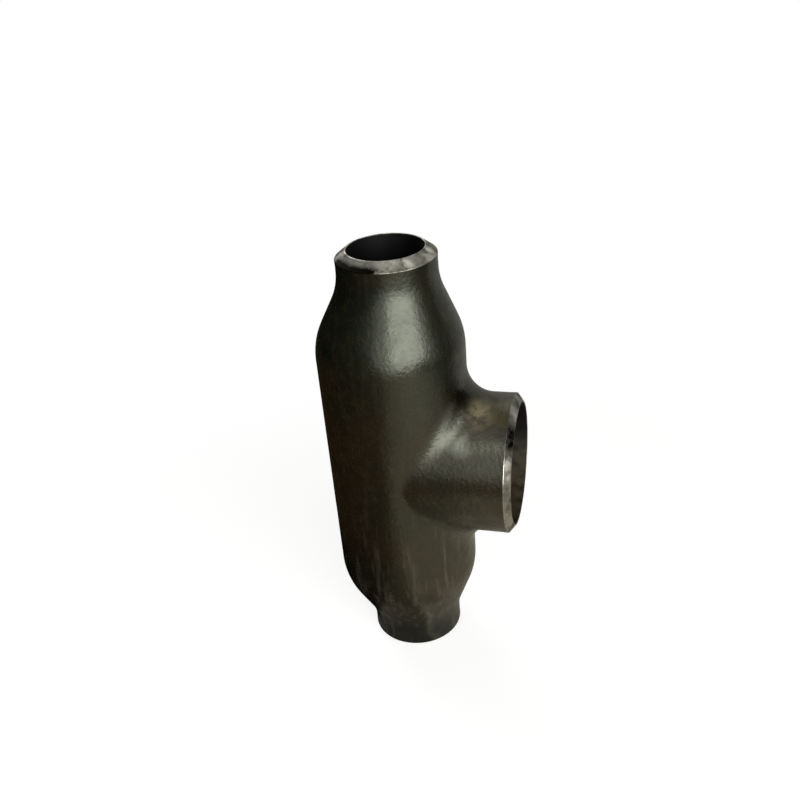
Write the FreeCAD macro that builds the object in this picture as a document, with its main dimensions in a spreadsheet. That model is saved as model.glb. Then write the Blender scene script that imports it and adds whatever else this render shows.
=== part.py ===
import FreeCAD, Part
import Sketcher
import os

# A butt-weld reducing tee, forged in one piece. Both ends of its run are drawn down from the
# barrel to a smaller pipe size, and the larger branch leaves the middle of the barrel.
# The body is drawn with the branch's axis on X and the run's axis on Z, then raised so that
# the lower run end stands on z = 0 with the origin at the centre of its bore.

doc = FreeCAD.newDocument("ReducingTee")
sizes = doc.addObject("Spreadsheet::Sheet", "Sizes")

# Driving sizes, in millimetres and degrees
driving_sizes = (
    ("run_half_length", 270.0, "branch axis to the face of a run end"),
    ("run_end_od", 114.3, "DN100 pipe"),
    ("run_end_wall", 13.49, "wall of the DN100 ends"),
    ("branch_reach", 143.0, "run axis to the face of the branch end"),
    ("branch_od", 168.3, "DN150 pipe"),
    ("branch_wall", 10.97, "wall of the DN150 end"),
    ("barrel_swell", 3.25, "how far the barrel's radius passes the branch's"),
    ("barrel_thickening", 1.4, "how much thicker the barrel's wall is than the branch's"),
    ("barrel_set_back", 4.8, "barrel axis behind the run axis, away from the branch"),
    ("neck_length", 40.0, "run end face to the corner where the cone begins"),
    ("cone_length", 65.5, "corner at the neck to the corner at the barrel"),
    ("flare_radius", 80.0, "hollow curve from the neck into the cone"),
    ("shoulder_radius", 86.0, "round curve from the cone into the barrel"),
    ("crotch_radius", 40.0, "hollow curve from the barrel into the branch"),
    ("inner_crotch_radius", 24.0, "round edge where the bores meet"),
    ("land", 1.6, "flat left on each end face inside the weld bevel"),
    ("bevel_angle", 37.5, "weld bevel, measured from the end face"),
    ("curve_share", 0.9, "most of the room beside a corner that its curve may take"),
)

# Sizes that follow from them
derived_sizes = (
    ("run_end_radius", "=run_end_od / 2"),
    ("branch_radius", "=branch_od / 2"),
    ("barrel_radius", "=branch_radius + barrel_swell"),
    ("barrel_wall", "=branch_wall + barrel_thickening"),
    ("run_bore_radius", "=run_end_radius - run_end_wall"),
    ("branch_bore_radius", "=branch_radius - branch_wall"),
    ("barrel_bore_radius", "=barrel_radius - barrel_wall"),
    ("run_bevel_width", "=run_end_wall - land"),
    ("branch_bevel_width", "=branch_wall - land"),
    ("run_bevel_depth", "=run_bevel_width * tan(bevel_angle)"),
    ("branch_bevel_depth", "=branch_bevel_width * tan(bevel_angle)"),
    # The cone's corners, outside and in the bore
    ("neck_corner", "=run_half_length - neck_length"),
    ("barrel_corner", "=neck_corner - cone_length"),
    ("cone_rise", "=barrel_radius - run_end_radius"),
    ("cone_slant", "=sqrt(cone_length ^ 2 + cone_rise ^ 2)"),
    ("half_slope", "=atan(cone_rise / cone_length) / 2"),
    ("bore_neck_corner", "=neck_corner - run_end_wall * tan(half_slope)"),
    ("bore_barrel_corner", "=barrel_corner - barrel_wall * tan(half_slope)"),
    # The curves at those corners, each within the straight stretches beside it
    ("neck_room", "=curve_share * min(neck_length - run_bevel_depth; cone_slant / 2)"),
    ("flare_curve", "=min(flare_radius; neck_room / tan(half_slope))"),
    ("shoulder_curve", "=min(shoulder_radius; curve_share * cone_slant / 2 / tan(half_slope))"),
    ("bore_flare_curve", "=flare_curve + run_end_wall"),
    ("bore_shoulder_curve", "=shoulder_curve - barrel_wall"),
    # The crotch curves, which stay on the barrel's straight part and off the branch's bevel
    ("barrel_straight", "=barrel_corner - shoulder_curve * tan(half_slope)"),
    ("barrel_front", "=barrel_radius - barrel_set_back"),
    ("branch_straight", "=branch_reach - branch_bevel_depth - barrel_front"),
    ("crotch_room", "=curve_share * min(branch_straight; barrel_straight - branch_radius)"),
    ("crotch_curve", "=min(crotch_radius; crotch_room)"),
    ("inner_crotch_curve", "=min(inner_crotch_radius; crotch_room)"),
)

for row, (alias, value, note) in enumerate(driving_sizes, start=1):
    sizes.set(f"A{row}", alias)
    sizes.set(f"B{row}", str(value))
    sizes.set(f"C{row}", note)
    sizes.setAlias(f"B{row}", alias)
for row, (alias, formula) in enumerate(derived_sizes, start=len(driving_sizes) + 1):
    sizes.set(f"A{row}", alias)
    sizes.set(f"B{row}", formula)
    sizes.setAlias(f"B{row}", alias)
    doc.recompute()

tee = doc.addObject("PartDesign::Body", "Tee")
tee.Label = "tee_body"
tee.setExpression("Placement.Base.z", "Sizes.run_half_length")
doc.recompute()
planes = {item.Role: item for item in tee.Origin.OriginFeatures}


def circle(name, radius, plane="XY_Plane", height=None, set_back=None):
    """A sketched circle on one of the body's planes, raised by height and set back along X."""
    sketch = tee.newObject("Sketcher::SketchObject", name)
    sketch.AttachmentSupport = (planes[plane], [""])
    sketch.MapMode = "FlatFace"
    centre = FreeCAD.Vector(0, 0, 0)
    sketch.addGeometry(Part.Circle(centre, FreeCAD.Vector(0, 0, 1), float(sizes.get(radius))))
    sketch.addConstraint(Sketcher.Constraint("Coincident", 0, 3, -1, 1))
    sketch.addConstraint(Sketcher.Constraint("Radius", 0, float(sizes.get(radius))))
    sketch.renameConstraint(1, "radius")
    sketch.setExpression("Constraints.radius", f"Sizes.{radius}")
    if height:
        sketch.setExpression("AttachmentOffset.Base.z", f"Sizes.{height}")
    if set_back:
        sketch.setExpression("AttachmentOffset.Base.x", f"-Sizes.{set_back}")
    return sketch


def extrude(kind, name, profile, length, side="One side", against_normal=False):
    """A Pad or a Pocket of a profile, as long as the formula says."""
    feature = tee.newObject(f"PartDesign::{kind}", name)
    feature.Profile = profile
    feature.SideType = side
    feature.Reversed = against_normal
    feature.setExpression("Length", length)
    doc.recompute()
    return feature


def loft(kind, name, foot, top):
    """A straight-sided loft between two circles, added or cut."""
    feature = tee.newObject(f"PartDesign::{kind}", name)
    feature.Profile = foot
    feature.Sections = [top]
    feature.Ruled = True
    doc.recompute()
    return feature


def mirror_down(name, features):
    """The same features again on the lower half of the run."""
    feature = tee.newObject("PartDesign::Mirrored", name)
    feature.Originals = features
    feature.MirrorPlane = (planes["XY_Plane"], [""])
    tee.Tip = feature
    doc.recompute()
    return feature


def dress(kind, name, edges):
    """A Fillet or a Chamfer on edges of the newest feature."""
    base = tee.Tip
    feature = tee.newObject(f"PartDesign::{kind}", name)
    feature.Base = (base, edges)
    return feature


def fillet(name, edges, radius):
    feature = dress("Fillet", name, edges)
    feature.setExpression("Radius", f"Sizes.{radius}")
    doc.recompute()


def weld_bevel(name, edges, width, flipped=False):
    """A bevel whose width lies across the end face; flipped if the edge's other side comes first."""
    feature = dress("Chamfer", name, edges)
    feature.ChamferType = "Distance and Angle"
    feature.FlipDirection = flipped
    feature.setExpression("Size", f"Sizes.{width}")
    feature.setExpression("Angle", "Sizes.bevel_angle")
    doc.recompute()


def edges_where(test):
    """The names of the newest feature's edges that pass a test."""
    edges = enumerate(tee.Tip.Shape.Edges, start=1)
    return [f"Edge{number}" for number, edge in edges if test(edge)]


def rings(height, radius):
    """The level rings at plus and minus height whose radius is as given."""
    def is_ring(edge):
        box = edge.BoundBox
        level = box.ZLength < tolerance and abs(abs(box.ZMin) - height) < tolerance
        return level and abs(box.YMax - radius) < tolerance
    return edges_where(is_ring)


def branch_edges(radius, is_wanted):
    """The edges of the branch's outside or bore, apart from its seam, that is_wanted keeps."""
    def is_on_branch(edge):
        if isinstance(edge.Curve, Part.Line) or not is_wanted(edge):
            return False
        points = edge.discretize(points_per_edge)
        return all(abs(point.cross(x_axis).Length - radius) < tolerance for point in points)
    return edges_where(is_on_branch)


def is_at_face(edge):
    return edge.BoundBox.XMin > sizes.branch_reach - tolerance


def is_at_root(edge):
    return edge.BoundBox.XMax < sizes.barrel_radius


x_axis = FreeCAD.Vector(1, 0, 0)
tolerance = 0.01
points_per_edge = 9

# The outside of the run: barrel, cone and neck, then the lower half
barrel_circle = circle("BarrelCircle", "barrel_radius", set_back="barrel_set_back")
extrude("Pad", "Barrel", barrel_circle, "2 * Sizes.barrel_corner", side="Symmetric")
cone_foot = circle("ConeFoot", "barrel_radius", height="barrel_corner", set_back="barrel_set_back")
cone_top = circle("ConeTop", "run_end_radius", height="neck_corner")
cone = loft("AdditiveLoft", "Cone", cone_foot, cone_top)
neck_circle = circle("NeckCircle", "run_end_radius", height="neck_corner")
neck = extrude("Pad", "Neck", neck_circle, "Sizes.neck_length")
mirror_down("LowerEnd", [cone, neck])
fillet("Flares", rings(sizes.neck_corner, sizes.run_end_radius), "flare_curve")
fillet("Shoulders", rings(sizes.barrel_corner, sizes.barrel_radius), "shoulder_curve")

# The branch and the hollow curve round its root
branch_circle = circle("BranchCircle", "branch_radius", plane="YZ_Plane")
extrude("Pad", "Branch", branch_circle, "Sizes.branch_reach")
fillet("Crotch", branch_edges(sizes.branch_radius, is_at_root), "crotch_curve")

# The way through the run, one wall inside the outside
barrel_bore_circle = circle("BarrelBoreCircle", "barrel_bore_radius", set_back="barrel_set_back")
extrude("Pocket", "BarrelBore", barrel_bore_circle, "2 * Sizes.bore_barrel_corner", "Symmetric")
bore_foot = circle("BoreFoot", "barrel_bore_radius", "XY_Plane", "bore_barrel_corner", "barrel_set_back")
bore_top = circle("BoreTop", "run_bore_radius", height="bore_neck_corner")
cone_bore = loft("SubtractiveLoft", "ConeBore", bore_foot, bore_top)
neck_bore_circle = circle("NeckBoreCircle", "run_bore_radius", height="bore_neck_corner")
neck_bore_length = "Sizes.run_half_length - Sizes.bore_neck_corner"
neck_bore = extrude("Pocket", "NeckBore", neck_bore_circle, neck_bore_length, against_normal=True)
mirror_down("LowerBore", [cone_bore, neck_bore])
fillet("BoreFlares", rings(sizes.bore_neck_corner, sizes.run_bore_radius), "bore_flare_curve")
fillet("BoreShoulders", rings(sizes.bore_barrel_corner, sizes.barrel_bore_radius), "bore_shoulder_curve")

# The way out through the branch
branch_bore_circle = circle("BranchBoreCircle", "branch_bore_radius", plane="YZ_Plane")
extrude("Pocket", "BranchBore", branch_bore_circle, "Sizes.branch_reach", against_normal=True)
fillet("InnerCrotch", branch_edges(sizes.branch_bore_radius, is_at_root), "inner_crotch_curve")

# The three ends, bevelled for welding
weld_bevel("RunBevels", rings(sizes.run_half_length, sizes.run_end_radius), "run_bevel_width")
branch_rim = branch_edges(sizes.branch_radius, is_at_face)
weld_bevel("BranchBevel", branch_rim, "branch_bevel_width", flipped=True)

for item in doc.Objects:
    if "Invalid" in item.State or "Error" in item.State:
        raise RuntimeError(f"{item.Name} is {item.State}")
if tee.Shape.isNull() or not tee.Shape.isValid() or len(tee.Shape.Solids) != 1:
    raise RuntimeError("tee_body is not one valid solid")

os.makedirs("parts", exist_ok=True)
tee.Shape.exportStep(f"parts/{tee.Label}.step")
print(tee.Label, "volume", round(tee.Shape.Volume), "box", tee.Shape.optimalBoundingBox())
print("centre of mass", tee.Shape.Solids[0].CenterOfMass)
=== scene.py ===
import bpy
import bmesh
from collections import defaultdict
from math import cos, degrees, hypot, pi, radians, sin
from mathutils import Matrix, Vector
from mathutils.bvhtree import BVHTree
from mathutils.kdtree import KDTree


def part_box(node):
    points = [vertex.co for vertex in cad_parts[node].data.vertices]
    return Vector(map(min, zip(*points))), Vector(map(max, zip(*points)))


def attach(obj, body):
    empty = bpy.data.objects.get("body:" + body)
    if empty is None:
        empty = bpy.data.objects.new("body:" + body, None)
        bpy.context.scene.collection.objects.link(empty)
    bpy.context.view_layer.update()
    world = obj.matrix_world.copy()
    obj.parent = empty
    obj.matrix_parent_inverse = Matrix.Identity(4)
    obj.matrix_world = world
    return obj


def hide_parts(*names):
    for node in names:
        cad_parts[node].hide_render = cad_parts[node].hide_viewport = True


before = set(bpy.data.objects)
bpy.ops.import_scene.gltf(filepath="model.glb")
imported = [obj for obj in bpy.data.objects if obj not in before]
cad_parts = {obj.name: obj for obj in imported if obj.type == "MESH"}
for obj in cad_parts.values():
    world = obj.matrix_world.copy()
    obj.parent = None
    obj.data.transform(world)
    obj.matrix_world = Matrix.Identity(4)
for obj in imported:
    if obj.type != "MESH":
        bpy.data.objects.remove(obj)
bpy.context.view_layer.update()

scene = bpy.context.scene
scene.view_settings.view_transform = "Standard"
mm = 0.001


# Small helpers

def linear(hexColour):
    parts = [int(hexColour[i:i + 2], 16) / 255 for i in (1, 3, 5)]
    return tuple(c / 12.92 if c <= 0.04045 else ((c + 0.055) / 1.055) ** 2.4 for c in parts) + (1,)


def addNode(tree, kind, inputs=None, **settings):
    node = tree.nodes.new(kind)
    for name, value in settings.items():
        setattr(node, name, value)
    for socket, value in (inputs or {}).items():
        if isinstance(value, bpy.types.NodeSocket):
            tree.links.new(value, node.inputs[socket])
        else:
            node.inputs[socket].default_value = value
    return node


def newMaterial(name):
    material = bpy.data.materials.new(name)
    material.use_nodes = True
    material.node_tree.nodes.clear()
    return material, material.node_tree


# Where things are, read off the frame: the run stands on Z and the branch points along X

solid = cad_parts["tee_body"]
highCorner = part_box("tee_body")[1]
runTop = highCorner.z
branchFace = highCorner.x
branchAxis = runTop / 2


# The tee's skin: a merged copy of the solid, its curves divided finely enough to carry the
# unevenness of a forging, and its ground rims broken a little, as a file leaves them

tee = {
    "mergeWithin": 0.002 * mm,
    "sharpAngle": 25,         # degrees; ground edges are sharper than this, forged curves are not
    "longestEdge": 4 * mm,    # of a triangle on the forged skin and the ground ends
    "longestInside": 9 * mm,  # in the bores
    "nearlyLongest": 0.999,   # of a triangle's longest edge, for ties
    "chordError": 0.13 * mm,  # how near the solid's triangles lie to its curves
    "rimBreak": 0.4 * mm,     # width of the broken edge
    "rimSteps": 2,
    "turnedReach": 9 * mm,    # how far in from its face the branch's end was turned
    "swellDepth": 0.30 * mm,  # slow unevenness of the dies
    "swellSize": 46 * mm,
    "dentDepth": 0.14 * mm,   # scale pits and hammer marks
    "dentSize": 11 * mm,
    "calmRim": 7 * mm,        # how far the unevenness stays off the ground rims
    "seed": 4.0,
}
skinPart, borePart, groundPart = 0, 1, 2


def mergedSolid():
    # The solid's loose triangles joined into one mesh, with its own normals kept at the corners
    data = solid.data.copy()
    kept = data.attributes.new("ownNormal", "FLOAT_VECTOR", "CORNER")
    kept.data.foreach_set("vector", [
        part for normal in solid.data.corner_normals for part in normal.vector])
    mesh = bmesh.new()
    mesh.from_mesh(data)
    bpy.data.meshes.remove(data)
    bmesh.ops.remove_doubles(mesh, verts=mesh.verts, dist=tee["mergeWithin"])
    for face in mesh.faces:
        face.smooth = True
    for edge in mesh.edges:
        edge.smooth = degrees(edge.calc_face_angle(0)) < tee["sharpAngle"]
    return mesh


def markIslands(mesh, island):
    # Faces that no sharp edge parts are one island: the skin is the largest, then the bore
    seen, islands = set(), []
    for start in mesh.faces:
        if start in seen:
            continue
        faces, waiting = [], [start]
        seen.add(start)
        while waiting:
            face = waiting.pop()
            faces.append(face)
            for edge in face.edges:
                for other in edge.link_faces if edge.smooth else ():
                    if other not in seen:
                        seen.add(other)
                        waiting.append(other)
        islands.append(faces)
    islands.sort(key=lambda faces: -sum(face.calc_area() for face in faces))
    for number, faces in enumerate(islands):
        for face in faces:
            face[island] = number
            face.material_index = min(number, groundPart)
    print("islands", [len(faces) for faces in islands])


def islandNormals(mesh, island):
    kept = mesh.loops.layers.float_vector["ownNormal"]
    normals = defaultdict(Vector)
    for face in mesh.faces:
        for corner in face.loops:
            normals[corner.vert, face[island]] += corner[kept]
    mesh.loops.layers.float_vector.remove(kept)
    for key in normals:
        normals[key].normalize()
    # A long edge keeps so near the curve that the normals at its ends can hardly lean along it: an
    # arc's slope at its ends is four times its height over its length
    for edge in sorted(mesh.edges, key=lambda edge: edge.calc_length()):
        along = (edge.verts[1].co - edge.verts[0].co).normalized()
        mostLean = 4 * tee["chordError"] / edge.calc_length()
        for number in {face[island] for face in edge.link_faces}:
            for end in edge.verts:
                lean = normals[end, number].dot(along)
                if abs(lean) > mostLean:
                    normals[end, number] = (normals[end, number] - lean * along).normalized()
    return normals


def curvedMiddle(edge, island, normals):
    # The middle of an edge, moved out to the curve that the normals at its two ends describe
    ends = edge.verts
    middle = (ends[0].co + ends[1].co) / 2
    found = {}
    for number in {face[island] for face in edge.link_faces}:
        atEnds = [normals[end, number] for end in ends]
        rise = sum((end.co - middle).dot(normal) for end, normal in zip(ends, atEnds)) / 4
        found[number] = ((atEnds[0] + atEnds[1]).normalized(), rise)
    if len(found) == 1:
        (normal, rise), = found.values()
        return middle + normal * rise, found
    (normalA, riseA), (normalB, riseB) = found.values()
    shared = normalA.dot(normalB)
    amountA = (riseA - shared * riseB) / (1 - shared * shared)
    amountB = (riseB - shared * riseA) / (1 - shared * shared)
    return middle + amountA * normalA + amountB * normalB, found


def edgesToDivide(mesh):
    # Only an edge that is the longest of both its triangles, so that slivers grow no thinner
    chosen = []
    for edge in mesh.edges:
        length = edge.calc_length()
        inside = all(face.material_index == borePart for face in edge.link_faces)
        if length > (tee["longestInside"] if inside else tee["longestEdge"]):
            others = (other.calc_length() for face in edge.link_faces for other in face.edges)
            if length > tee["nearlyLongest"] * max(others):
                chosen.append(edge)
    return chosen


def divideLongEdges(mesh, island):
    normals = islandNormals(mesh, island)
    longEdges = edgesToDivide(mesh)
    while longEdges:
        middles = [curvedMiddle(edge, island, normals) for edge in longEdges]
        for edge, (middle, found) in zip(longEdges, middles):
            added = bmesh.utils.edge_split(edge, edge.verts[0], 0.5)[1]
            added.co = middle
            for number in found:
                normals[added, number] = found[number][0]
            for face in list(added.link_faces):
                around = list(face.verts)
                opposite = around[(around.index(added) + 2) % 4]
                bmesh.utils.face_split(face, added, opposite)
        smoothEdges = [edge for edge in mesh.edges if edge.smooth]
        bmesh.ops.beautify_fill(mesh, faces=mesh.faces, edges=smoothEdges, method="AREA")
        longEdges = edgesToDivide(mesh)
    print("divided into", len(mesh.faces), "triangles")


def keepToSolid(mesh):
    # No new point may stray from the solid by more than its triangles stray from its curves
    triangles = bmesh.new()
    triangles.from_mesh(solid.data)
    near = BVHTree.FromBMesh(triangles)
    triangles.free()
    for vert in mesh.verts:
        place, _, _, gap = near.find_nearest(vert.co)
        if gap > tee["chordError"]:
            vert.co = place.lerp(vert.co, tee["chordError"] / gap)


def breakRims(mesh):
    rims = [edge for edge in mesh.edges if not edge.smooth]
    made = bmesh.ops.bevel(mesh, geom=rims, offset=tee["rimBreak"], offset_type="OFFSET",
                           segments=tee["rimSteps"], profile=0.5, affect="EDGES", clamp_overlap=True)
    strips = set(made["faces"])
    for face in strips:
        face.material_index = groundPart
    for edge in mesh.edges:
        edge.smooth = len(strips.intersection(edge.link_faces)) != 1
    bmesh.ops.triangulate(mesh, faces=[face for face in mesh.faces if len(face.verts) > 3])


def measureRims(mesh):
    # Two things for the finishes and the unevenness: how far a point lies from the nearest ground
    # rim, and its distance from the axis that its end was turned on
    rims = [edge for edge in mesh.edges if not edge.smooth]
    tree = KDTree(len(rims))
    for number, edge in enumerate(rims):
        tree.insert((edge.verts[0].co + edge.verts[1].co) / 2, number)
    tree.balance()
    rimDistance = mesh.verts.layers.float.new("rimDistance")
    turnedRadius = mesh.verts.layers.float.new("turnedRadius")
    for vert in mesh.verts:
        x, y, z = vert.co
        vert[rimDistance] = tree.find(vert.co)[2]
        onBranch = x > branchFace - tee["turnedReach"]
        vert[turnedRadius] = hypot(y, z - branchAxis) if onBranch else hypot(x, y)


def unevennessTree(finishes):
    # Lets the forged skin sink in a little, in slow swells and small dents, and gives each part its
    # finish
    tree = bpy.data.node_groups.new("forged_unevenness", "GeometryNodeTree")
    tree.interface.new_socket("Geometry", in_out="INPUT", socket_type="NodeSocketGeometry")
    tree.interface.new_socket("Geometry", in_out="OUTPUT", socket_type="NodeSocketGeometry")
    names = ("swellDepth", "swellSize", "dentDepth", "dentSize", "calmRim", "seed")
    sockets = {name: tree.interface.new_socket(name, in_out="INPUT", socket_type="NodeSocketFloat")
               for name in names}
    start = addNode(tree, "NodeGroupInput")
    at = addNode(tree, "GeometryNodeInputPosition").outputs[0]
    sunk = []
    for kind in ("swell", "dent"):
        scale = addNode(tree, "ShaderNodeMath", {0: 1.0, 1: start.outputs[kind + "Size"]},
                        operation="DIVIDE")
        noise = addNode(tree, "ShaderNodeTexNoise", {
            "Vector": at, "W": start.outputs["seed"], "Scale": scale.outputs[0], "Detail": 2.0},
            noise_dimensions="4D")
        sunk.append(addNode(tree, "ShaderNodeMath", {
            0: noise.outputs[0], 1: start.outputs[kind + "Depth"]}, operation="MULTIPLY").outputs[0])
    depth = addNode(tree, "ShaderNodeMath", {0: sunk[0], 1: sunk[1]}, operation="ADD")
    rim = addNode(tree, "GeometryNodeInputNamedAttribute", {"Name": "rimDistance"})
    away = addNode(tree, "ShaderNodeMapRange", {
        "Value": rim.outputs[0], "From Max": start.outputs["calmRim"], "To Max": -1.0},
        interpolation_type="SMOOTHSTEP")
    inward = addNode(tree, "ShaderNodeMath", {0: depth.outputs[0], 1: away.outputs[0]},
                     operation="MULTIPLY")
    normal = addNode(tree, "GeometryNodeInputNormal")
    offset = addNode(tree, "ShaderNodeVectorMath", {0: normal.outputs[0], "Scale": inward.outputs[0]},
                     operation="SCALE")
    part = addNode(tree, "GeometryNodeInputMaterialIndex")
    isSkin = addNode(tree, "FunctionNodeCompare", {2: part.outputs[0], 3: skinPart},
                     data_type="INT", operation="EQUAL")
    shape = addNode(tree, "GeometryNodeSetPosition", {
        "Geometry": start.outputs["Geometry"], "Selection": isSkin.outputs[0],
        "Offset": offset.outputs[0]}).outputs[0]
    for number, finish in enumerate(finishes):
        isPart = addNode(tree, "FunctionNodeCompare", {2: part.outputs[0], 3: number},
                         data_type="INT", operation="EQUAL")
        if number == len(finishes) - 1:
            shape = addNode(tree, "GeometryNodeRealizeInstances", {"Geometry": shape}).outputs[0]
        shape = addNode(tree, "GeometryNodeSetMaterial", {
            "Geometry": shape, "Selection": isPart.outputs[0], "Material": finish}).outputs[0]
    addNode(tree, "NodeGroupOutput", {"Geometry": shape})
    return tree, sockets


# Finishes

def varnishedForging():
    # Carbon steel forging, shot-blasted and dipped in black bitumen varnish: a satin film, brown where
    # it is thin and olive where it is thick, over fine grit; dust lies on top and drips dried below
    look = {
        "thin": "#1e150a", "thick": "#0e110a",
        "tonePatch": 70 * mm, "toneFrom": 0.35, "toneTo": 0.65, "toneSway": 0.35,
        "greenFrom": 0.36, "greenTo": 0.44, "greenLeast": 0.25,
        "foot": "#121416", "footFrom": 0.075, "footTo": 0.03, "footCover": 0.8,
        "scaleColour": "#2d2a1c", "scalePatch": 13 * mm,
        "scaleFrom": 0.42, "scaleTo": 0.75, "scaleCover": 0.5,
        "dripColour": "#4a453a", "dripWidth": 7 * mm, "dripLength": 70 * mm,
        "dripFrom": 0.52, "dripTo": 0.72, "dripCover": 0.6,
        "dripsBegin": 0.25, "dripsFull": 0.15, "dripsAbove": 0.15,
        # A darker, blotchy band round where the barrel meets the lower cone
        "darkBand": "#0d0a06", "darkBandPatch": 15 * mm, "darkBandHeight": 0.116, "darkBandWidth": 14 * mm,
        "darkBandFrom": 0.55, "darkBandTo": 0.7, "darkBandCover": 0.8,
        "dust": "#746a52", "dustPatch": 24 * mm, "dustFrom": 0.4, "dustTo": 0.7,
        "dustSlope": 0.45, "dustCover": 0.3, "dustDulls": 0.45,
        "smudgePlace": (0.103, -0.028, 0.352), "smudgeRadius": 28 * mm, "smudgeRagged": 34 * mm,
        "smudgeCover": 0.9, "blotchFrom": 0.38, "blotchTo": 0.52, "blotchLeast": 0.3,
        "stain": "#3b3110", "stainPlace": (0.128, -0.026, 0.350), "stainRadius": 22 * mm,
        "stainCover": 0.85,
        # The valley above the branch's root: a dark patch of painted shade, glossy as oil
        "oilAndShade": "#070705", "oilAndShadePlace": (0.079, -0.028, 0.372), "oilAndShadeRadius": 29 * mm,
        "oilAndShadeCover": 0.9, "oilAndShadeGloss": 0.17,
        # The branch's root in front of the valley: a light patch, a painted highlight that also stands
        # for a sling's rub mark
        "rubAndHighlight": "#82857a", "rubAndHighlightPlace": (0.084, -0.064, 0.329), "rubAndHighlightRadius": 19 * mm,
        "rubAndHighlightCover": 0.7,
        "wornSteel": "#78746a", "wornWidth": 1.6 * mm, "wornFade": 1.2 * mm,
        "fraySize": 4 * mm, "frayReach": 5 * mm,
        "lumpSize": 4.5 * mm, "lumpDepth": 0.32 * mm,
        "gritSize": 1.7 * mm, "gritDepth": 0.07 * mm,  # blasting grit is 0.5 to 1 mm; coarser, to show
        "smooth": 0.22, "matt": 0.36, "glossFrom": 0.3, "glossTo": 0.7,
        "index": 1.6,  # bitumen's refractive index is 1.55 to 1.65
        "glint": "#f9ffe9",
    }
    material, tree = newMaterial("black_varnished_forging")
    at = addNode(tree, "ShaderNodeTexCoord").outputs["Object"]
    height = addNode(tree, "ShaderNodeSeparateXYZ", {0: at}).outputs["Z"]
    rim = addNode(tree, "ShaderNodeAttribute", attribute_name="rimDistance").outputs["Fac"]

    # The film is thicker, and so greener, towards the end that drained last, the top, and greyer
    # at the foot
    tone = addNode(tree, "ShaderNodeTexNoise", {
        "Vector": at, "Scale": 1 / look["tonePatch"], "Detail": 3})
    toneMix = addNode(tree, "ShaderNodeMapRange", {
        "Value": tone.outputs[0], "From Min": look["toneFrom"], "From Max": look["toneTo"],
        "To Min": -look["toneSway"], "To Max": look["toneSway"]})
    towardsTop = addNode(tree, "ShaderNodeMapRange", {
        "Value": height, "From Min": look["greenFrom"], "From Max": look["greenTo"],
        "To Min": look["greenLeast"]})
    green = addNode(tree, "ShaderNodeMath", {0: toneMix.outputs[0], 1: towardsTop.outputs[0]},
                    operation="ADD", use_clamp=True)
    film = addNode(tree, "ShaderNodeMix", {
        0: green.outputs[0], 6: linear(look["thin"]), 7: linear(look["thick"])}, data_type="RGBA")
    nearFoot = addNode(tree, "ShaderNodeMapRange", {
        "Value": height, "From Min": look["footFrom"], "From Max": look["footTo"],
        "To Max": look["footCover"]})
    colour = addNode(tree, "ShaderNodeMix", {
        0: nearFoot.outputs[0], 6: film.outputs[2], 7: linear(look["foot"])}, data_type="RGBA")

    # Furnace scale shows through in patches
    scales = addNode(tree, "ShaderNodeTexNoise", {
        "Vector": at, "Scale": 1 / look["scalePatch"], "Detail": 4, "Roughness": 0.6})
    scaleMix = addNode(tree, "ShaderNodeMapRange", {
        "Value": scales.outputs[0], "From Min": look["scaleFrom"], "From Max": look["scaleTo"],
        "To Max": look["scaleCover"]})
    colour = addNode(tree, "ShaderNodeMix", {
        0: scaleMix.outputs[0], 6: colour.outputs[2], 7: linear(look["scaleColour"])},
        data_type="RGBA")

    # Drips run down the lower barrel, and it is darker and blotchy in a band round where the barrel
    # meets the lower cone
    stretched = addNode(tree, "ShaderNodeMapping", {"Vector": at, "Scale": (
        1 / look["dripWidth"], 1 / look["dripWidth"], 1 / look["dripLength"])})
    drips = addNode(tree, "ShaderNodeTexNoise", {
        "Vector": stretched.outputs[0], "Scale": 1.0, "Detail": 3})
    dripMix = addNode(tree, "ShaderNodeMapRange", {
        "Value": drips.outputs[0], "From Min": look["dripFrom"], "From Max": look["dripTo"],
        "To Max": look["dripCover"]})
    below = addNode(tree, "ShaderNodeMapRange", {
        "Value": height, "From Min": look["dripsBegin"], "From Max": look["dripsFull"],
        "To Min": look["dripsAbove"]})
    dripped = addNode(tree, "ShaderNodeMath", {0: dripMix.outputs[0], 1: below.outputs[0]},
                      operation="MULTIPLY")
    colour = addNode(tree, "ShaderNodeMix", {
        0: dripped.outputs[0], 6: colour.outputs[2], 7: linear(look["dripColour"])},
        data_type="RGBA")
    ring = addNode(tree, "ShaderNodeMath", {
        0: height, 1: look["darkBandHeight"], 2: look["darkBandWidth"]}, operation="COMPARE")
    blots = addNode(tree, "ShaderNodeTexNoise", {
        "Vector": at, "Scale": 1 / look["darkBandPatch"], "Detail": 4})
    blotMix = addNode(tree, "ShaderNodeMapRange", {
        "Value": blots.outputs[0], "From Min": look["darkBandFrom"], "From Max": look["darkBandTo"],
        "To Max": look["darkBandCover"]})
    darkBand = addNode(tree, "ShaderNodeMath", {0: ring.outputs[0], 1: blotMix.outputs[0]},
                    operation="MULTIPLY")
    colour = addNode(tree, "ShaderNodeMix", {
        0: darkBand.outputs[0], 6: colour.outputs[2], 7: linear(look["darkBand"])}, data_type="RGBA")

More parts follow.
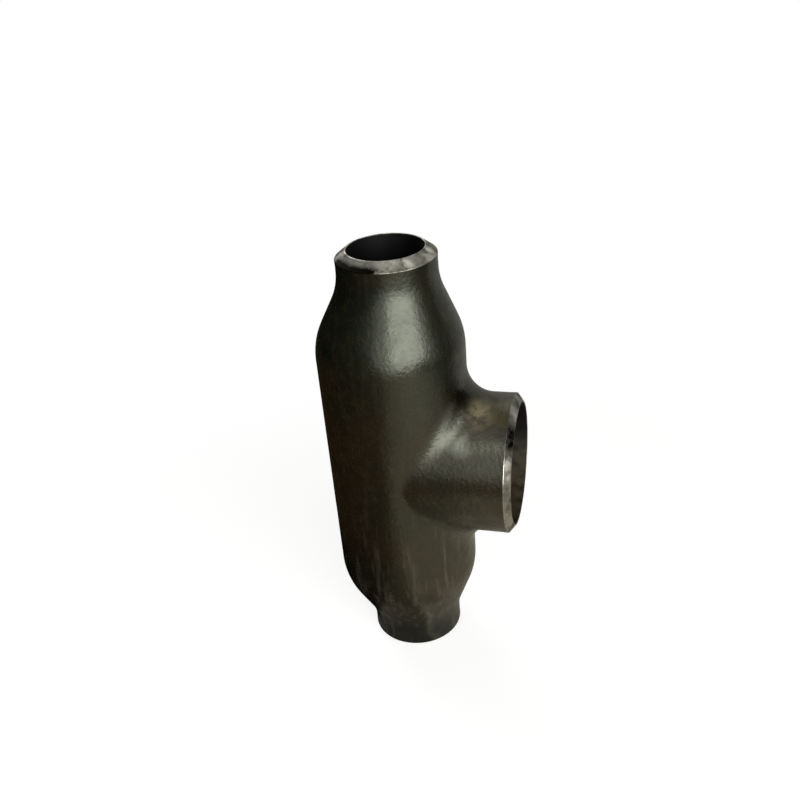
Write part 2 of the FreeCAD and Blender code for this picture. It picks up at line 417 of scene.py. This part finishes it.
    # Dust on what faces up, and one blotchy smudge of it on the branch behind the bevel
    normal = addNode(tree, "ShaderNodeNewGeometry").outputs["Normal"]
    up = addNode(tree, "ShaderNodeSeparateXYZ", {0: normal})
    facingUp = addNode(tree, "ShaderNodeMapRange", {
        "Value": up.outputs["Z"], "From Min": look["dustSlope"], "To Max": look["dustCover"]})
    speckle = addNode(tree, "ShaderNodeTexNoise", {
        "Vector": at, "Scale": 1 / look["dustPatch"], "Detail": 6, "Roughness": 0.65})
    speckleMix = addNode(tree, "ShaderNodeMapRange", {
        "Value": speckle.outputs[0], "From Min": look["dustFrom"], "From Max": look["dustTo"]})
    laid = addNode(tree, "ShaderNodeMath", {0: facingUp.outputs[0], 1: speckleMix.outputs[0]},
                   operation="MULTIPLY")
    gap = addNode(tree, "ShaderNodeVectorMath", {0: at, 1: look["smudgePlace"]},
                  operation="DISTANCE")
    ragged = addNode(tree, "ShaderNodeMath", {
        0: speckle.outputs[0], 1: -look["smudgeRagged"], 2: gap.outputs["Value"]},
        operation="MULTIPLY_ADD")
    smudge = addNode(tree, "ShaderNodeMapRange", {
        "Value": ragged.outputs[0], "From Min": look["smudgeRadius"] - look["smudgeRagged"] / 2,
        "From Max": -look["smudgeRagged"] / 2, "To Max": look["smudgeCover"]},
        interpolation_type="SMOOTHSTEP")
    blotchy = addNode(tree, "ShaderNodeMapRange", {
        "Value": scales.outputs[0], "From Min": look["blotchFrom"], "From Max": look["blotchTo"],
        "To Min": look["blotchLeast"]})
    smudge = addNode(tree, "ShaderNodeMath", {0: smudge.outputs[0], 1: blotchy.outputs[0]},
                     operation="MULTIPLY")
    dust = addNode(tree, "ShaderNodeMath", {0: laid.outputs[0], 1: smudge.outputs[0]},
                   operation="MAXIMUM")
    colour = addNode(tree, "ShaderNodeMix", {
        0: dust.outputs[0], 6: colour.outputs[2], 7: linear(look["dust"])}, data_type="RGBA")

    # An oily stain beside the smudge; in the valley above the branch's root a dark, glossy patch of
    # painted shade that also stands for oil; and in front of it a light patch, a painted highlight that
    # widens the root's highlight and also stands for a rub mark where a sling has lain
    marks = {}
    for kind in ("stain", "oilAndShade", "rubAndHighlight"):
        radius = look[kind + "Radius"]
        off = addNode(tree, "ShaderNodeVectorMath", {0: at, 1: look[kind + "Place"]},
                      operation="DISTANCE")
        spread = addNode(tree, "ShaderNodeMath", {
            0: speckle.outputs[0], 1: -radius, 2: off.outputs["Value"]}, operation="MULTIPLY_ADD")
        mark = addNode(tree, "ShaderNodeMapRange", {
            "Value": spread.outputs[0], "From Min": radius / 2, "From Max": -radius / 2,
            "To Max": look[kind + "Cover"]}, interpolation_type="SMOOTHSTEP")
        marks[kind] = mark.outputs[0]
        colour = addNode(tree, "ShaderNodeMix", {
            0: marks[kind], 6: colour.outputs[2], 7: linear(look[kind])}, data_type="RGBA")

    # Varnish rubbed off along the ground rims
    fray = addNode(tree, "ShaderNodeTexNoise", {
        "Vector": at, "Scale": 1 / look["fraySize"], "Detail": 4})
    frayed = addNode(tree, "ShaderNodeMath", {0: fray.outputs[0], 1: look["frayReach"], 2: rim},
                     operation="MULTIPLY_ADD")
    worn = addNode(tree, "ShaderNodeMapRange", {
        "Value": frayed.outputs[0], "From Min": look["wornWidth"] + look["wornFade"],
        "From Max": look["wornWidth"]})
    colour = addNode(tree, "ShaderNodeMix", {
        0: worn.outputs[0], 6: colour.outputs[2], 7: linear(look["wornSteel"])}, data_type="RGBA")

    # Dust dulls the film, and the oily valley patch of painted shade makes it shine
    gloss = addNode(tree, "ShaderNodeMapRange", {
        "Value": scales.outputs[0], "From Min": look["glossFrom"], "From Max": look["glossTo"],
        "To Min": look["matt"], "To Max": look["smooth"]})
    roughness = addNode(tree, "ShaderNodeMath", {
        0: dust.outputs[0], 1: look["dustDulls"], 2: gloss.outputs[0]}, operation="MULTIPLY_ADD")
    roughness = addNode(tree, "ShaderNodeMath", {
        0: marks["oilAndShade"], 1: -look["oilAndShadeGloss"], 2: roughness.outputs[0]}, operation="MULTIPLY_ADD")

    lumps = addNode(tree, "ShaderNodeTexNoise", {
        "Vector": at, "Scale": 1 / look["lumpSize"], "Detail": 2})
    grit = addNode(tree, "ShaderNodeTexNoise", {
        "Vector": at, "Scale": 1 / look["gritSize"], "Detail": 2})
    bump = addNode(tree, "ShaderNodeBump", {
        "Height": lumps.outputs[0], "Distance": look["lumpDepth"]})
    bump = addNode(tree, "ShaderNodeBump", {
        "Height": grit.outputs[0], "Distance": look["gritDepth"], "Normal": bump.outputs[0]})
    shader = addNode(tree, "ShaderNodeBsdfPrincipled", {
        "Base Color": colour.outputs[2], "Roughness": roughness.outputs[0],
        "Metallic": worn.outputs[0], "IOR": look["index"], "Specular Tint": linear(look["glint"]),
        "Normal": bump.outputs[0]})
    addNode(tree, "ShaderNodeOutputMaterial", {"Surface": shader.outputs[0]})
    return material


def groundSteel():
    # Bare carbon steel, turned and ground at the weld bevels: fine rings from the tool, grey where it
    # is fresh, brown and dull where rust or oxide has crept over it
    look = {
        "fresh": "#a6a498", "dull": "#4d4a3d", "patch": 16 * mm, "dullFrom": 0.42, "dullTo": 0.64,
        "bare": "#b4b2a8", "bareWidth": 0.9 * mm, "bareCover": 0.6,
        "ring": 0.8 * mm, "ringDepth": 0.03 * mm,
        # Bright spots: freshly ground steel that also paints glints
        "brightAndGlint": "#dedace", "brightAndGlintSpots": (
            ((0.0355, -0.037, 0.5355), 6 * mm), ((0.050, 0.0, 0.536), 7 * mm),
            ((-0.047, -0.020, 0.536), 10 * mm), ((0.141, -0.016, 0.346), 9 * mm),
            ((0.1385, -0.068, 0.312), 7 * mm), ((0.1395, -0.073, 0.298), 4 * mm)),
        # Crept oxide: spots on the branch's bevel, and an arc on the upper bevel that also paints a
        # dark reflection
        "creptAndDarkReflection": "#131009", "creptAndDarkReflectionSpots": (
            ((0.141, -0.051, 0.328), 11 * mm), ((0.141, -0.042, 0.335), 11 * mm)),
        "fray": 5 * mm,
        "spotRagged": 2.0, "spotOuter": 2.3, "spotInner": 1.1,  # times a spot's reach
        "arcMiddle": radians(-119), "arcHalf": radians(37), "arcRagged": 0.4,
        "arcEnds": 0.28, "arcFull": 0.05,  # past the arc's half angle
        "arcInside": 50.5 * mm, "edgeRagged": 4 * mm, "edgeFrom": 0.5 * mm, "edgeTo": 4.5 * mm,
        "bevelReach": 15 * mm,
        "smooth": 0.33, "matt": 0.48, "mattFrom": 0.35, "mattTo": 0.65,
    }
    material, tree = newMaterial("ground_bare_steel")
    at = addNode(tree, "ShaderNodeTexCoord").outputs["Object"]
    radius = addNode(tree, "ShaderNodeAttribute", attribute_name="turnedRadius").outputs["Fac"]
    rim = addNode(tree, "ShaderNodeAttribute", attribute_name="rimDistance").outputs["Fac"]
    patches = addNode(tree, "ShaderNodeTexNoise", {
        "Vector": at, "Scale": 1 / look["patch"], "Detail": 5, "Roughness": 0.6})
    patchMix = addNode(tree, "ShaderNodeMapRange", {
        "Value": patches.outputs[0], "From Min": look["dullFrom"], "From Max": look["dullTo"]})
    steel = addNode(tree, "ShaderNodeMix", {
        0: patchMix.outputs[0], 6: linear(look["fresh"]), 7: linear(look["dull"])},
        data_type="RGBA")
    rubbed = addNode(tree, "ShaderNodeMapRange", {
        "Value": rim, "From Min": look["bareWidth"], "From Max": 0.0, "To Max": look["bareCover"]})
    steel = addNode(tree, "ShaderNodeMix", {
        0: rubbed.outputs[0], 6: steel.outputs[2], 7: linear(look["bare"])}, data_type="RGBA")

    # The grinder left it bright in a few places, which also paints glints there, and black oxide has
    # crept over it in others: on a patch of the branch's bevel, and over the outer half of the upper
    # one along an arc, where it also paints a dark reflection
    fray = addNode(tree, "ShaderNodeTexNoise", {
        "Vector": at, "Scale": 1 / look["fray"], "Detail": 4})
    place = addNode(tree, "ShaderNodeSeparateXYZ", {0: at})
    angle = addNode(tree, "ShaderNodeMath", {0: place.outputs["Y"], 1: place.outputs["X"]},
                    operation="ARCTAN2")
    aside = addNode(tree, "ShaderNodeMath", {0: angle.outputs[0], 1: look["arcMiddle"]},
                    operation="SUBTRACT")
    aside = addNode(tree, "ShaderNodeMath", {0: aside.outputs[0]}, operation="ABSOLUTE")
    aside = addNode(tree, "ShaderNodeMath", {
        0: fray.outputs[0], 1: look["arcRagged"], 2: aside.outputs[0]}, operation="MULTIPLY_ADD")
    along = addNode(tree, "ShaderNodeMapRange", {
        "Value": aside.outputs[0], "From Min": look["arcHalf"] + look["arcEnds"],
        "From Max": look["arcHalf"] + look["arcFull"]})
    across = addNode(tree, "ShaderNodeMath", {0: fray.outputs[0], 1: look["edgeRagged"], 2: radius},
                     operation="MULTIPLY_ADD")
    across = addNode(tree, "ShaderNodeMapRange", {
        "Value": across.outputs[0], "From Min": look["arcInside"] + look["edgeFrom"],
        "From Max": look["arcInside"] + look["edgeTo"]})
    onTop = addNode(tree, "ShaderNodeMath", {
        0: place.outputs["Z"], 1: runTop - look["bevelReach"]}, operation="GREATER_THAN")
    arc = addNode(tree, "ShaderNodeMath", {0: along.outputs[0], 1: across.outputs[0]},
                  operation="MULTIPLY")
    arc = addNode(tree, "ShaderNodeMath", {0: arc.outputs[0], 1: onTop.outputs[0]},
                  operation="MULTIPLY")
    masks = {"brightAndGlint": 0.0, "creptAndDarkReflection": arc.outputs[0]}
    for kind in masks:
        for middle, reach in look[kind + "Spots"]:
            gap = addNode(tree, "ShaderNodeVectorMath", {0: at, 1: middle}, operation="DISTANCE")
            ragged = addNode(tree, "ShaderNodeMath", {
                0: fray.outputs[0], 1: look["spotRagged"] * reach, 2: gap.outputs["Value"]},
                operation="MULTIPLY_ADD")
            spot = addNode(tree, "ShaderNodeMapRange", {
                "Value": ragged.outputs[0], "From Min": look["spotOuter"] * reach,
                "From Max": look["spotInner"] * reach}, interpolation_type="SMOOTHSTEP")
            masks[kind] = addNode(tree, "ShaderNodeMath", {0: spot.outputs[0], 1: masks[kind]},
                                  operation="MAXIMUM").outputs[0]
        steel = addNode(tree, "ShaderNodeMix", {
            0: masks[kind], 6: steel.outputs[2], 7: linear(look[kind])}, data_type="RGBA")

    ring = addNode(tree, "ShaderNodeMath", {0: radius, 1: 1 / look["ring"]}, operation="MULTIPLY")
    rings = addNode(tree, "ShaderNodeTexNoise", {"W": ring.outputs[0], "Scale": 1.0, "Detail": 3},
                    noise_dimensions="1D")
    bump = addNode(tree, "ShaderNodeBump", {
        "Height": rings.outputs[0], "Distance": look["ringDepth"]})
    roughness = addNode(tree, "ShaderNodeMapRange", {
        "Value": patches.outputs[0], "From Min": look["mattFrom"], "From Max": look["mattTo"],
        "To Min": look["smooth"], "To Max": look["matt"]})
    shader = addNode(tree, "ShaderNodeBsdfPrincipled", {
        "Base Color": steel.outputs[2], "Metallic": 1.0, "Roughness": roughness.outputs[0],
        "Normal": bump.outputs[0]})
    addNode(tree, "ShaderNodeOutputMaterial", {"Surface": shader.outputs[0]})
    return material


def boreScaleAndShade():
    # The bore keeps its dull furnace scale under a thin coat: matt, and nearly black, darker than scale
    # alone as painted shade inside it, with rust and silt in the lower half of the branch's mouth,
    # lighter there as painted light on the lit inner wall
    look = {
        # scale is nearly black as painted shade inside the bore; rust and silt are lighter as painted
        # light on the lower inner wall of the branch's mouth
        "scale": "#040303", "rustAndLight": "#322e20", "siltAndLight": "#3f3729",
        "patch": 14 * mm, "rustAndLightFrom": 0.3, "rustAndLightTo": 0.6,
        "mouthFrom": 0.06, "mouthTo": 0.10, "noneAbove": 0.272, "fullBelow": 0.245,
        "siltAndLightFrom": 0.2, "siltAndLightTo": 0.8,
        "pit": 3 * mm, "pitDepth": 0.12 * mm,
        "smooth": 0.45, "matt": 0.7, "shine": 0.25,
    }
    material, tree = newMaterial("dull_bore_scale_and_shade")
    at = addNode(tree, "ShaderNodeTexCoord").outputs["Object"]
    patches = addNode(tree, "ShaderNodeTexNoise", {
        "Vector": at, "Scale": 1 / look["patch"], "Detail": 5})
    patchMix = addNode(tree, "ShaderNodeMapRange", {
        "Value": patches.outputs[0], "From Min": look["rustAndLightFrom"], "From Max": look["rustAndLightTo"]})
    place = addNode(tree, "ShaderNodeSeparateXYZ", {0: at})
    # The lower half of the branch's mouth is lighter: painted light on its lit inner wall, also
    # standing for rust, and for silt where it faces up
    inBranch = addNode(tree, "ShaderNodeMapRange", {
        "Value": place.outputs["X"], "From Min": look["mouthFrom"], "From Max": look["mouthTo"]})
    lowDown = addNode(tree, "ShaderNodeMapRange", {
        "Value": place.outputs["Z"], "From Min": look["noneAbove"], "From Max": look["fullBelow"]})
    lowerMouthLit = addNode(tree, "ShaderNodeMath", {0: inBranch.outputs[0], 1: lowDown.outputs[0]},
                   operation="MULTIPLY")
    rustedAndLit = addNode(tree, "ShaderNodeMath", {0: patchMix.outputs[0], 1: lowerMouthLit.outputs[0]},
                     operation="MULTIPLY")
    colour = addNode(tree, "ShaderNodeMix", {
        0: rustedAndLit.outputs[0], 6: linear(look["scale"]), 7: linear(look["rustAndLight"])}, data_type="RGBA")
    normal = addNode(tree, "ShaderNodeNewGeometry").outputs["Normal"]
    up = addNode(tree, "ShaderNodeSeparateXYZ", {0: normal})
    facingUp = addNode(tree, "ShaderNodeMapRange", {
        "Value": up.outputs["Z"], "From Min": look["siltAndLightFrom"], "From Max": look["siltAndLightTo"]})
    siltedAndLit = addNode(tree, "ShaderNodeMath", {0: facingUp.outputs[0], 1: rustedAndLit.outputs[0]},
                     operation="MULTIPLY")
    colour = addNode(tree, "ShaderNodeMix", {
        0: siltedAndLit.outputs[0], 6: colour.outputs[2], 7: linear(look["siltAndLight"])}, data_type="RGBA")
    pits = addNode(tree, "ShaderNodeTexNoise", {
        "Vector": at, "Scale": 1 / look["pit"], "Detail": 3})
    bump = addNode(tree, "ShaderNodeBump", {
        "Height": pits.outputs[0], "Distance": look["pitDepth"]})
    roughness = addNode(tree, "ShaderNodeMapRange", {
        "Value": patches.outputs[0], "To Min": look["smooth"], "To Max": look["matt"]})
    shader = addNode(tree, "ShaderNodeBsdfPrincipled", {
        "Base Color": colour.outputs[2], "Roughness": roughness.outputs[0],
        "Specular IOR Level": look["shine"], "Normal": bump.outputs[0]})
    addNode(tree, "ShaderNodeOutputMaterial", {"Surface": shader.outputs[0]})
    return material


def makeTee():
    mesh = mergedSolid()
    island = mesh.faces.layers.int.new("island")
    markIslands(mesh, island)
    divideLongEdges(mesh, island)
    keepToSolid(mesh)
    breakRims(mesh)
    measureRims(mesh)
    mesh.faces.layers.int.remove(mesh.faces.layers.int["island"])
    rough = bpy.data.meshes.new("divided_solid")
    mesh.to_mesh(rough)
    mesh.free()
    print("rims broken,", len(rough.polygons), "triangles")

    finishes = (varnishedForging(), boreScaleAndShade(), groundSteel())
    blank = bpy.data.objects.new("blank", rough)
    scene.collection.objects.link(blank)
    for finish in finishes:
        rough.materials.append(finish)
    tree, sockets = unevennessTree(finishes)
    modifier = blank.modifiers.new("forged unevenness", "NODES")
    modifier.node_group = tree
    for name, socket in sockets.items():
        modifier[socket.identifier] = tee[name]
    depsgraph = bpy.context.evaluated_depsgraph_get()
    data = bpy.data.meshes.new_from_object(blank.evaluated_get(depsgraph))
    bpy.data.objects.remove(blank)
    data.name = "forged_tee"
    piece = bpy.data.objects.new("forged_tee", data)
    scene.collection.objects.link(piece)
    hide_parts("tee_body")
    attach(piece, "root")
    print("tee made,", len(data.polygons), "triangles,", [material.name for material in data.materials])


makeTee()


# The studio: a white floor in white surroundings, a large soft window in front with smaller and
# weaker ones round it, and cards that stand for the rest of a room in what the varnish reflects

studio = {
    "floorRadius": 8.0, "floorCorners": 96,
    "floorColour": "#b4b4b2",
    "floorGlow": 0.72,     # what the camera and reflections see of the floor besides its lit colour
    "whiteFrom": 0.35, "whiteTo": 0.9,  # the floor passes into plain white between these distances
    "fillStrength": 0.12,  # what the surroundings give by diffuse light
    # Azimuth and elevation seen from the tee, distance, width, height, radiance
    "windows": {
        "window": (39, 16, 2.0, 1.8, 1.35, 5.2),
        "window_side": (68, 13, 2.0, 0.5, 1.3, 0.4),
        "high_window": (2, 55, 2.0, 0.55, 0.55, 3.0),
        "wide_window": (27, 28, 2.3, 3.2, 2.2, 0.35),
        "back_window": (225, 40, 2.2, 1.6, 1.2, 3.0),
    },
    # Two opposite corners, colour
    "cards": {
        # Left: black for the dark flank, brown below it, grey over the shoulder
        "card_left": ((-0.27, -1.4, 0.38), (-0.27, 1.0, 0.66), "#000000"),
        "card_left_low": ((-0.27, -1.4, 0.0), (-0.27, 1.0, 0.38), "#302414"),
        "card_left_top": ((-0.27, -1.4, 0.66), (-0.27, 0.3, 1.1), "#909090"),
        "card_over_left": ((-0.27, -0.8, 1.1), (-0.09, 0.3, 1.1), "#7a7a7a"),
        "card_front_left": ((-1.3, -1.5, 0.0), (0.04, -1.5, 0.34), "#000000"),
        # Right: dark beside the shoulder, three small ones near the branch that darken the valley
        # above its root, light behind
        "card_right": ((0.42, -0.04, 0.30), (0.42, 0.17, 0.85), "#262626"),
        "card_right_side": ((0.42, -0.12, 0.30), (0.42, -0.04, 0.85), "#959595"),
        "card_valley": ((0.20, -0.20, 0.36), (0.20, -0.095, 0.425), "#1c1c1c"),
        "card_valley_low": ((0.20, -0.095, 0.36), (0.20, 0.01, 0.40), "#1c1c1c"),
        "card_over_valley": ((0.12, -0.115, 0.452), (0.30, 0.05, 0.452), "#1c1c1c"),
        "card_right_low": ((0.42, -0.03, 0.14), (0.42, 0.17, 0.30), "#262626"),
        "card_right_end": ((0.42, 0.17, 0.30), (0.42, 0.45, 0.85), "#9a9a9a"),
        # Behind: grey for the right edges, and a brown one for the top of the branch
        "card_back": ((-0.1, 0.9, 0.1), (1.3, 0.9, 0.98), "#9a9a96"),
        "card_back_over": ((-0.35, 0.9, 0.98), (0.30, 0.9, 1.3), "#a89e6c"),
        "card_back_top": ((-0.9, 0.12, 1.3), (0.9, 0.75, 1.3), "#959595"),
        # On the floor, a little above one another: black on the left, warm and lighter to the right
        "card_floor_left": ((-1.3, -1.5, 0.006), (-0.02, 1.2, 0.006), "#000000"),
        "card_floor_front": ((-0.02, -1.5, 0.006), (0.06, -0.62, 0.006), "#000000"),
        "card_floor_foot": ((-0.06, -0.30, 0.008), (0.035, 0.0, 0.008), "#605c54"),
        "card_floor_side": ((0.045, -0.12, 0.007), (0.10, 0.10, 0.007), "#969184"),
        "card_floor_near": ((-0.02, -0.55, 0.005), (0.40, 0.0, 0.005), "#c6beac"),
        "card_floor_right": ((-0.02, 0.0, 0.005), (0.40, 0.35, 0.005), "#b0a998"),
        "card_floor_far": ((0.06, -2.0, 0.003), (0.30, -0.55, 0.003), "#a39e92"),
        "card_floor_pool": ((0.30, -2.0, 0.003), (1.3, -0.26, 0.003), "#dcd4c6"),
        "card_floor_beyond": ((0.30, -2.0, 0.0045), (1.3, -0.95, 0.0045), "#b9b2a4"),
        "card_floor_wide": ((0.40, -0.26, 0.003), (1.3, 0.35, 0.003), "#9a958a"),
        "card_floor_back": ((-0.02, 0.35, 0.004), (1.3, 1.8, 0.004), "#a09d95"),
    },
}


def facing(azimuth, elevation):
    a, e = radians(azimuth), radians(elevation)
    return Vector((sin(a) * cos(e), -cos(a) * cos(e), sin(e)))


def seenAsBackground(tree):
    ray = addNode(tree, "ShaderNodeLightPath")
    glossy = addNode(tree, "ShaderNodeMath", {
        0: ray.outputs["Is Camera Ray"], 1: ray.outputs["Is Glossy Ray"]}, operation="MAXIMUM")
    return addNode(tree, "ShaderNodeMath", {
        0: glossy.outputs[0], 1: ray.outputs["Is Transmission Ray"]}, operation="MAXIMUM").outputs[0]


def makeSurroundings():
    world = bpy.data.worlds.new("white_room")
    scene.world = world
    world.use_nodes = True
    tree = world.node_tree
    tree.nodes.clear()
    strength = addNode(tree, "ShaderNodeMapRange", {
        "Value": seenAsBackground(tree), "To Min": studio["fillStrength"], "To Max": 1.0})
    light = addNode(tree, "ShaderNodeBackground", {
        "Color": (1, 1, 1, 1), "Strength": strength.outputs[0]})
    addNode(tree, "ShaderNodeOutputWorld", {"Surface": light.outputs[0]})


def makeFloor():
    bpy.ops.mesh.primitive_circle_add(vertices=studio["floorCorners"], radius=studio["floorRadius"],
                                      fill_type="NGON")
    floor = bpy.context.object
    floor.name = "floor"
    material, tree = newMaterial("white_floor")
    at = addNode(tree, "ShaderNodeTexCoord").outputs["Object"]
    away = addNode(tree, "ShaderNodeVectorMath", {0: at}, operation="LENGTH")
    far = addNode(tree, "ShaderNodeMapRange", {
        "Value": away.outputs["Value"], "From Min": studio["whiteFrom"],
        "From Max": studio["whiteTo"]}, interpolation_type="SMOOTHSTEP")
    seen = seenAsBackground(tree)
    farAndSeen = addNode(tree, "ShaderNodeMath", {0: far.outputs[0], 1: seen}, operation="MULTIPLY")
    glow = addNode(tree, "ShaderNodeMath", {0: seen, 1: studio["floorGlow"]}, operation="MULTIPLY")
    lit = addNode(tree, "ShaderNodeBsdfDiffuse", {"Color": linear(studio["floorColour"])})
    lift = addNode(tree, "ShaderNodeEmission", {"Color": (1, 1, 1, 1), "Strength": glow.outputs[0]})
    near = addNode(tree, "ShaderNodeAddShader", {0: lit.outputs[0], 1: lift.outputs[0]})
    white = addNode(tree, "ShaderNodeEmission", {"Color": (1, 1, 1, 1), "Strength": 1.0})
    shader = addNode(tree, "ShaderNodeMixShader", {
        0: farAndSeen.outputs[0], 1: near.outputs[0], 2: white.outputs[0]})
    addNode(tree, "ShaderNodeOutputMaterial", {"Surface": shader.outputs[0]})
    floor.data.materials.append(material)


def makeCard(name, low, high, colour):
    # A flat card between two opposite corners, seen only in reflections: lying down, facing along Y,
    # or, where both corners have one X, facing along X
    low, high = Vector(low), Vector(high)
    corners = [low, Vector((high.x, low.y, low.z)), high, Vector((low.x, high.y, high.z))]
    if low.x == high.x:
        corners[1].z, corners[3].z = high.z, low.z
    data = bpy.data.meshes.new(name)
    data.from_pydata(corners, [], [(0, 1, 2, 3)])
    card = bpy.data.objects.new(name, data)
    scene.collection.objects.link(card)
    material, tree = newMaterial(name)
    shader = addNode(tree, "ShaderNodeEmission", {"Color": linear(colour), "Strength": 1.0})
    addNode(tree, "ShaderNodeOutputMaterial", {"Surface": shader.outputs[0]})
    material.cycles.emission_sampling = "NONE"
    data.materials.append(material)
    card.visible_camera = False
    card.visible_diffuse = False
    card.visible_shadow = False


def makeLight(name, azimuth, elevation, distance, width, height, radiance):
    # An area lamp's watts are its radiance times pi and its area
    lamp = bpy.data.lights.new(name, "AREA")
    lamp.shape = "RECTANGLE"
    lamp.size, lamp.size_y = width, height
    lamp.energy = radiance * pi * width * height
    light = bpy.data.objects.new(name, lamp)
    scene.collection.objects.link(light)
    target = Vector((0, 0, branchAxis))
    light.location = target + distance * facing(azimuth, elevation)
    light.rotation_mode = "QUATERNION"
    light.rotation_quaternion = facing(azimuth, elevation).to_track_quat("Z", "Y")
    light.visible_camera = False


makeSurroundings()
makeFloor()
for name, values in studio["windows"].items():
    makeLight(name, *values)
for name, values in studio["cards"].items():
    makeCard(name, *values)
print("studio made")


# The camera, fitted to the photograph

view = {
    "azimuth": 16.88,
    "elevation": 29.26,
    "roll": -5.24,
    "distance": 1.1049,
    "crossing": (0.0052, -0.0673),  # of the two axes, metres right of and above the picture's middle
    "lens": 40.17,
    "sensor": 36,
}


def makeCamera():
    back = facing(view["azimuth"], view["elevation"])
    level = Vector((cos(radians(view["azimuth"])), sin(radians(view["azimuth"])), 0))
    upright = back.cross(level)
    c, s = cos(radians(view["roll"])), sin(radians(view["roll"]))
    right, up = c * level + s * upright, c * upright - s * level
    x, y = view["crossing"]
    camera = bpy.data.objects.new("camera", bpy.data.cameras.new("camera"))
    scene.collection.objects.link(camera)
    place = Matrix((right, up, back)).transposed().to_4x4()
    place.translation = Vector((0, 0, branchAxis)) - x * right - y * up + view["distance"] * back
    camera.matrix_world = place
    camera.data.lens = view["lens"]
    camera.data.sensor_width = view["sensor"]
    scene.camera = camera


makeCamera()
